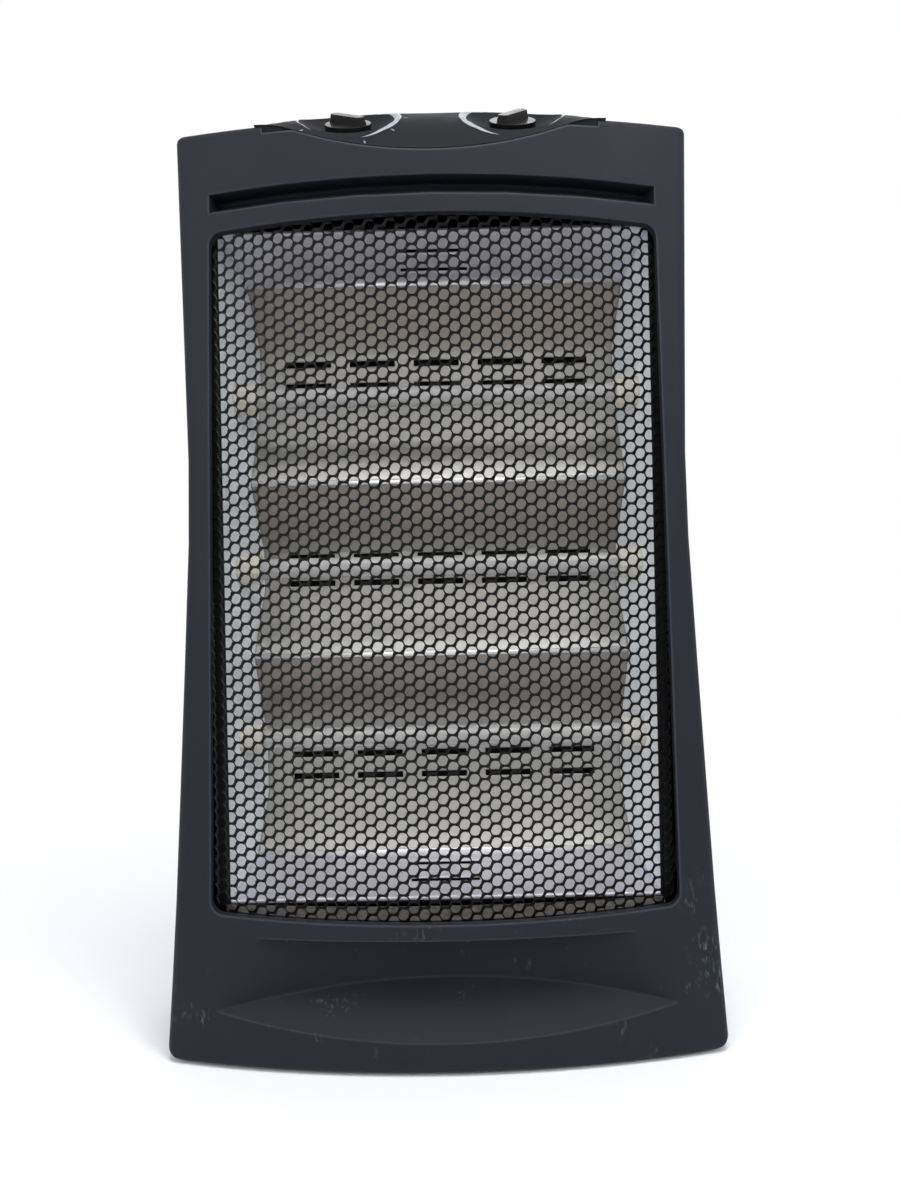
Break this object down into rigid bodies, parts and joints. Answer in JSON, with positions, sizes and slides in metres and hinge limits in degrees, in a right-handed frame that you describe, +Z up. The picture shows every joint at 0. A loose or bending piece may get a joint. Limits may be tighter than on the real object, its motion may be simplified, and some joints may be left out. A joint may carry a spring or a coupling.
{
  "type": "space heater",
  "caption": "Free-standing quartz tower heater with an hourglass plastic housing, bowed hexagonal guard, bright reflector, horizontal tubes and two dials on a crowned control panel.",
  "frame": {"origin": "centre of the overall box at floor level", "axes": "+X to the right seen from the front, +Y to the back, +Z up"},
  "size_m": [0.3374, 0.1919, 0.587],
  "materials": {
    "housing_plastic": "moulded, fine satin grain",
    "panel_plastic": "moulded, semi-gloss",
    "knob_plastic": "moulded, semi-gloss",
    "guard_paint": "black powder coat on expanded steel",
    "reflector_sheet": "polished, bright rolled",
    "zinc_steel": "zinc-plated sheet",
    "quartz_glass": "milky fused quartz",
    "coil_wire": "oxidised resistance wire",
    "cap_ceramic": "unglazed steatite",
    "screw_steel": "zinc-plated",
    "foot_rubber": "moulded",
    "switch_case": "moulded phenolic",
    "gland_nylon": "moulded nylon",
    "weight_iron": "plain turned"
  },
  "bodies": {
    "housing": {"front_bezel": "housing_plastic", "rear_cover": "housing_plastic", "base_plate": "housing_plastic", "control_panel": "panel_plastic", "grille": "guard_paint", "reflector_back": "reflector_sheet", "reflector_top": "reflector_sheet", "reflector_bottom": "reflector_sheet", "reflector_left": "reflector_sheet", "reflector_right": "reflector_sheet", "chassis_pan": "zinc_steel", "bus_strip_left": "zinc_steel", "bus_strip_right": "zinc_steel", "tip_bracket": "zinc_steel", "tip_pin": "zinc_steel", "thermostat_nut": "zinc_steel", "selector_nut": "zinc_steel", "quartz_tube_top": "quartz_glass", "quartz_tube_middle": "quartz_glass", "quartz_tube_bottom": "quartz_glass", "heating_coil_top": "coil_wire", "heating_coil_middle": "coil_wire", "heating_coil_bottom": "coil_wire", "ceramic_cap_top_left": "cap_ceramic", "ceramic_cap_top_right": "cap_ceramic", "ceramic_cap_middle_left": "cap_ceramic", "ceramic_cap_middle_right": "cap_ceramic", "ceramic_cap_bottom_left": "cap_ceramic", "ceramic_cap_bottom_right": "cap_ceramic", "rear_cover_screws": "screw_steel", "chassis_screws": "screw_steel", "grille_screws": "screw_steel", "base_screws": "screw_steel", "foot_front_left": "foot_rubber", "foot_front_right": "foot_rubber", "foot_rear_left": "foot_rubber", "foot_rear_right": "foot_rubber", "thermostat_body": "switch_case", "selector_body": "switch_case", "thermal_cutout": "switch_case", "tip_micro_switch": "switch_case", "terminal_block": "switch_case", "cord_gland": "gland_nylon", "gland_nut": "gland_nylon"},
    "thermostat_dial": {"thermostat_knob": "knob_plastic", "thermostat_shaft": "zinc_steel"},
    "selector_dial": {"selector_knob": "knob_plastic", "selector_shaft": "zinc_steel"},
    "tip_weight": {"tip_pendulum": "weight_iron"}
  },
  "joints": [
    {"name": "thermostat_turn", "type": "hinge", "parent": "housing", "child": "thermostat_dial", "pos_m": [-0.05, -0.05999, 0.55998], "axis": [0, -0.6018, 0.7986], "range_deg": [-130, 130]},
    {"name": "selector_turn", "type": "hinge", "parent": "housing", "child": "selector_dial", "pos_m": [0.05, -0.05999, 0.55998], "axis": [0, -0.6018, 0.7986], "range_deg": [-120, 0]},
    {"name": "tip_swing", "type": "hinge", "parent": "housing", "child": "tip_weight", "pos_m": [-0.07, 0.04, 0.0495], "axis": [1, 0, 0], "range_deg": [-20, 20]}
  ]
}
